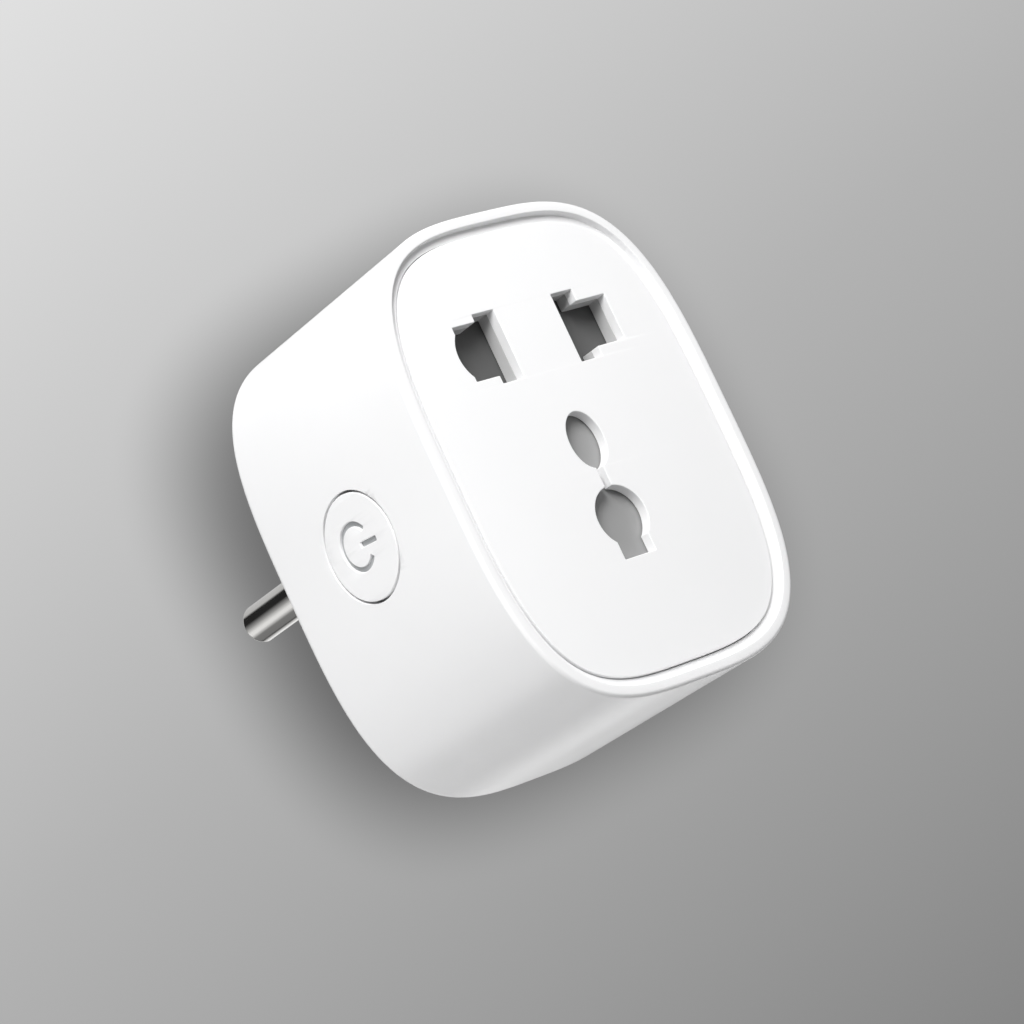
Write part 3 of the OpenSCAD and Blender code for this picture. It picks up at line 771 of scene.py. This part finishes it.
def make_rear_cover():
    pad_round = 0.8 * MM
    edge_round = 0.15 * MM
    pad_inset = 4.5 * MM
    pad = [
        (-pad_round + pad_round * math.sin(a), pad_inset + pad_round - pad_round * math.cos(a))
        for a in [math.radians(90 * i / 6) for i in range(7)]
    ]
    inset = WALL + 0.15 * MM
    levels = [(COVER_FRONT, inset), (RIM_Y - edge_round, inset), (RIM_Y, inset + edge_round)]
    levels += [(RIM_Y, pad_inset - 0.25 * MM), (RIM_Y + 0.25 * MM, pad_inset)] + pad
    piece = add_object(
        "plug_rear_cover", loft_mesh("plug_rear_cover", levels, RING_COUNT),
        "housing", "rear_cover",
    )
    cutters = []
    for node in ("live_pin", "neutral_pin"):
        low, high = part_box(node)
        well = [
            (COVER_FRONT - MM, 0), (COVER_FRONT - MM, PIN_ROOT_R), (-PIN_RECESS, PIN_ROOT_R),
            (-PIN_RECESS, 3.6 * MM), (-0.12 * MM, 3.6 * MM), (0, 3.72 * MM), (MM, 3.72 * MM), (MM, 0),
        ]
        place = ((low.x + high.x) / 2, 0, (low.z + high.z) / 2)
        cutters.append(lathe_mesh("well", well, 96, "y", place))
    drill_r, head_r, flare = 1.1 * MM, 2.0 * MM, 0.12 * MM
    counterbore = [
        (COVER_FRONT - MM, 0), (COVER_FRONT - MM, drill_r), (SCREW_SEAT, drill_r),
        (SCREW_SEAT, head_r), (RIM_Y - flare, head_r), (RIM_Y, head_r + flare),
        (MM, head_r + flare), (MM, 0),
    ]
    for x, z in screw_places():
        cutters.append(lathe_mesh("counterbore", counterbore, 48, "y", (x, 0, z)))
    cut_away(piece, loose_object("counterbores", join_meshes("counterbores", cutters)))
    smooth(piece)
    give_material(piece, SHELL_PLASTIC)


def make_pin(name, node):
    low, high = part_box(node)
    centre = (low + high) / 2
    r, tip, groove = 2.4 * MM, 0.5 * MM, 0.08 * MM
    end = high.y
    nose = [(end - tip + tip * math.sin(a), r - tip + tip * math.cos(a))
            for a in [math.radians(90 * i / 8) for i in range(9)]]
    profile = [
        (low.y, 0), (low.y, 1.2 * MM), (low.y + 0.2 * MM, 1.4 * MM), (COVER_FRONT - 1.4 * MM, 1.4 * MM),
        (COVER_FRONT - 1.4 * MM, 3.4 * MM), (COVER_FRONT, 3.4 * MM), (COVER_FRONT, PIN_ROOT_R),
        (-PIN_RECESS, PIN_ROOT_R), (-PIN_RECESS, r - groove), (groove - PIN_RECESS, r),
    ] + nose + [(end, 0)]
    mesh = lathe_mesh(name, profile, 96, "y", (centre.x, 0, centre.z))
    piece = add_object(name, mesh, "housing", node)
    smooth(piece)
    give_material(piece, NICKEL)


def make_cover_screws():
    """Four pan-head screws: ring threads, a domed head and a cross slot, turned further on the right."""
    core_r, thread_r, pitch = 0.68 * MM, 0.9 * MM, 0.58 * MM
    threads = []
    for k in range(12):
        y = SCREW_SEAT - 7.2 * MM + k * pitch
        threads += [(y, core_r), (y + 0.2 * MM, thread_r), (y + 0.3 * MM, thread_r), (y + 0.5 * MM, core_r)]
    head = [(SCREW_SEAT + up * MM, r * MM) for up, r in SCREW_HEAD]
    profile = [(SCREW_SEAT - 7.5 * MM, 0)] + threads + head
    meshes = [lathe_mesh("screw", profile, 48, "y", (x, 0, z)) for x, z in screw_places()]
    piece = add_object(
        "rear_screws", join_meshes("rear_screws", meshes), "housing", "cover_screws"
    )
    half_l, half_w, floor_up = 1.05 * MM, 0.22 * MM, 0.4 * MM
    for x, z in screw_places():
        for turn in (20, 110):
            slot = box_mesh("slot", (-half_l, 0, -half_w), (half_l, 2 * MM, half_w))
            spin = Matrix.Rotation(math.radians(turn + 35 * (x > 0)), 4, "Y")
            slot.transform(Matrix.Translation((x, SCREW_SEAT + floor_up, z)) @ spin)
            cut_away(piece, loose_object("slot", slot))
    smooth(piece)
    give_material(piece, ZINC)


# ---------------------------------------------------------------- stage, lights and camera


AMBIENT = 0.28
# The main view's axes, and the camera's distance from the plate's centre along each CAD axis
PICTURE_RIGHT = Vector((0.72899, -0.54273, -0.41716))
PICTURE_UP = Vector((0.22698, -0.38329, 0.8953))
PICTURE_BACK = Vector((-0.64580, -0.74735, -0.15623))
CAMERA_OFFSET = Vector((-266.39, -291.62, -65.75)) * MM
PICTURE_AHEAD = PICTURE_UP.cross(PICTURE_RIGHT)
SKY_REACH = 0.199
# Direction in which the backdrop brightens: up and to the left in the main view
SKY_SLOPE = PICTURE_RIGHT * -0.643 + PICTURE_UP * 0.766
# The shadow drawn on the backdrop: its axes, and its centre and half size along them
SHADOW_TURN = math.radians(28)
SHADOW_AXES = (
    PICTURE_RIGHT * math.cos(SHADOW_TURN) + PICTURE_UP * math.sin(SHADOW_TURN),
    PICTURE_UP * math.cos(SHADOW_TURN) - PICTURE_RIGHT * math.sin(SHADOW_TURN),
)
SHADOW_CENTRE = (-0.0116, 0.0028)
SHADOW_REACH = (0.07, 0.073)
SHADOW_BLUR = 0.28
SHADOW_DEPTH = 0.67
# Brightness of the panels by their angle about the Y axis, in degrees from +X towards +Z. They
# were tuned for the gloss in the main view.
PANELS = [
    (-180, 0.3), (-150, 0.9), (-136, 0.9), (-112, 0.22), (-70, 0.2), (-62, 0.03), (-50, 0.5),
    (-28, 1.0), (-16, 1.0), (-4, 0.15), (14, 0.2), (30, 0.6), (100, 0.55), (114, 0.02), (156, 0.02),
    (179, 0.3),
]
PANEL_STRENGTH = 1.0


def make_camera():
    """The main view: a long lens, low and to the front left, with the camera rolled."""
    data = bpy.data.cameras.new("camera")
    data.sensor_width = 36
    data.lens = 127.33
    data.clip_end = 50
    camera = bpy.data.objects.new("camera", data)
    bpy.context.scene.collection.objects.link(camera)
    right, back = PICTURE_RIGHT.normalized(), PICTURE_BACK.normalized()
    up = back.cross(right).normalized()
    right = up.cross(back)
    place = Matrix((right, up, back)).transposed().to_4x4()
    place.translation = Vector((0, PLATE_Y, 0)) + CAMERA_OFFSET
    camera.matrix_world = place
    bpy.context.scene.camera = camera


def make_floor():
    bm = bmesh.new()
    bmesh.ops.create_circle(bm, cap_ends=True, radius=6, segments=96)
    mesh = bpy.data.meshes.new("floor")
    bm.to_mesh(mesh)
    bm.free()
    mesh.transform(Matrix.Translation((0, 0, -0.36)))
    floor = loose_object("floor", mesh)
    floor.visible_glossy = False
    give_material(floor, moulded_plastic("floor paint", (0.62, 0.62, 0.62), 0.8, spread=0.02))


def grey_ramp(nodes, links, source, stops):
    """Greys at positions from 0 to 1 along a value."""
    ramp = nodes.new("ShaderNodeValToRGB")
    elements = ramp.color_ramp.elements
    elements[0].position, elements[1].position = stops[0][0], stops[-1][0]
    elements[0].color = (stops[0][1],) * 3 + (1,)
    elements[1].color = (stops[-1][1],) * 3 + (1,)
    for position, grey in stops[1:-1]:
        elements.new(position).color = (grey, grey, grey, 1)
    links.new(source, ramp.inputs["Fac"])
    return ramp.outputs["Color"]


def soft_shadow(nodes, links, direction):
    """Strength of the backdrop, which darkens softly round the plug. This shadow is drawn by
    direction for the main view: the plug doesn't cast it, and it doesn't follow other views."""
    def step(operation, first, second=None):
        node = nodes.new("ShaderNodeMath")
        node.operation = operation
        for socket, value in zip(node.inputs, (first, second)):
            if isinstance(value, (int, float)):
                socket.default_value = value
            elif value is not None:
                links.new(value, socket)
        return node.outputs["Value"]

    def along(axis):
        node = nodes.new("ShaderNodeVectorMath")
        node.operation = "DOT_PRODUCT"
        node.inputs[1].default_value = axis
        links.new(direction, node.inputs[0])
        return node.outputs["Value"]

    total = 0.0
    for axis, centre, reach in zip(SHADOW_AXES, SHADOW_CENTRE, SHADOW_REACH):
        offset = step("ABSOLUTE", step("DIVIDE", step("SUBTRACT", along(axis), centre), reach))
        total = step("ADD", step("POWER", offset, 3), total)
    behind = step("MULTIPLY", step("LESS_THAN", along(PICTURE_AHEAD), 0), 10)
    edge = nodes.new("ShaderNodeMapRange")
    edge.interpolation_type = "SMOOTHSTEP"
    edge.inputs["From Min"].default_value = 1 - SHADOW_BLUR
    edge.inputs["From Max"].default_value = 1 + SHADOW_BLUR
    edge.inputs["To Min"].default_value = 1 - SHADOW_DEPTH
    links.new(step("ADD", step("POWER", total, 1 / 3), behind), edge.inputs["Value"])
    return edge.outputs["Result"]


def make_world():
    """Studio air: a grey fall-off as the camera sees it, panels of light all round the Y axis as
    the gloss sees them, and an even light for everything else."""
    world = bpy.data.worlds.new("studio")
    bpy.context.scene.world = world
    world.use_nodes = True
    nodes, links = world.node_tree.nodes, world.node_tree.links
    even = nodes["Background"]
    even.inputs["Color"].default_value = (1, 1, 1, 1)
    even.inputs["Strength"].default_value = AMBIENT
    place = nodes.new("ShaderNodeTexCoord")

    slope = nodes.new("ShaderNodeVectorMath")
    slope.operation = "DOT_PRODUCT"
    slope.inputs[1].default_value = SKY_SLOPE
    links.new(place.outputs["Generated"], slope.inputs[0])
    shade = nodes.new("ShaderNodeMapRange")
    shade.inputs["From Min"].default_value = -SKY_REACH
    shade.inputs["From Max"].default_value = SKY_REACH
    links.new(slope.outputs["Value"], shade.inputs["Value"])
    backdrop = nodes.new("ShaderNodeBackground")
    colour = grey_ramp(nodes, links, shade.outputs["Result"], [(0, 0.235), (0.5, 0.451), (1, 0.753)])
    links.new(colour, backdrop.inputs["Color"])
    links.new(soft_shadow(nodes, links, place.outputs["Generated"]), backdrop.inputs["Strength"])

    parts = nodes.new("ShaderNodeSeparateXYZ")
    links.new(place.outputs["Generated"], parts.inputs[0])
    angle = nodes.new("ShaderNodeMath")
    angle.operation = "ARCTAN2"
    links.new(parts.outputs["Z"], angle.inputs[0])
    links.new(parts.outputs["X"], angle.inputs[1])
    turn = nodes.new("ShaderNodeMapRange")
    turn.inputs["From Min"].default_value = -math.pi
    turn.inputs["From Max"].default_value = math.pi
    links.new(angle.outputs["Value"], turn.inputs["Value"])
    panels = nodes.new("ShaderNodeBackground")
    stops = [((degrees + 180) / 360, grey) for degrees, grey in PANELS]
    links.new(grey_ramp(nodes, links, turn.outputs["Result"], stops), panels.inputs["Color"])
    panels.inputs["Strength"].default_value = PANEL_STRENGTH

    path = nodes.new("ShaderNodeLightPath")
    gloss, seen = nodes.new("ShaderNodeMixShader"), nodes.new("ShaderNodeMixShader")
    links.new(path.outputs["Is Glossy Ray"], gloss.inputs["Fac"])
    links.new(even.outputs["Background"], gloss.inputs[1])
    links.new(panels.outputs["Background"], gloss.inputs[2])
    links.new(path.outputs["Is Camera Ray"], seen.inputs["Fac"])
    links.new(gloss.outputs["Shader"], seen.inputs[1])
    links.new(backdrop.outputs["Background"], seen.inputs[2])
    links.new(seen.outputs["Shader"], nodes["World Output"].inputs["Surface"])


def area_light(name, place, aim, size, power):
    data = bpy.data.lights.new(name, "AREA")
    data.energy = power
    data.size = size
    light = bpy.data.objects.new(name, data)
    bpy.context.scene.collection.objects.link(light)
    place, aim = Vector(place), Vector(aim)
    light.location = place
    light.rotation_mode = "QUATERNION"
    light.rotation_quaternion = (aim - place).to_track_quat("-Z", "Y")
    return light


def make_lights():
    middle = (0, -0.018, 0)
    area_light("key", (-0.2, -0.29, 0.25), middle, 0.22, 2.3)
    under_box = area_light("under_box", (-0.27, 0.25, -0.38), middle, 0.4, 2.9)
    top_box = area_light("top_box", (0.15, 0.40, 0.34), middle, 0.3, 1.5)
    for light in (under_box, top_box):
        light.visible_glossy = False


# ---------------------------------------------------------------- the scene

bpy.context.scene.view_settings.view_transform = "Standard"
make_camera()
make_shell()
make_face_plate()
make_shutter_frame()
make_button()
make_rear_cover()
make_pin("live_mains_pin", "live_pin")
make_pin("neutral_mains_pin", "neutral_pin")
make_cover_screws()
for node, material in CAD_MATERIALS.items():
    give_material(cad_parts[node], material)
make_floor()
make_world()
make_lights()
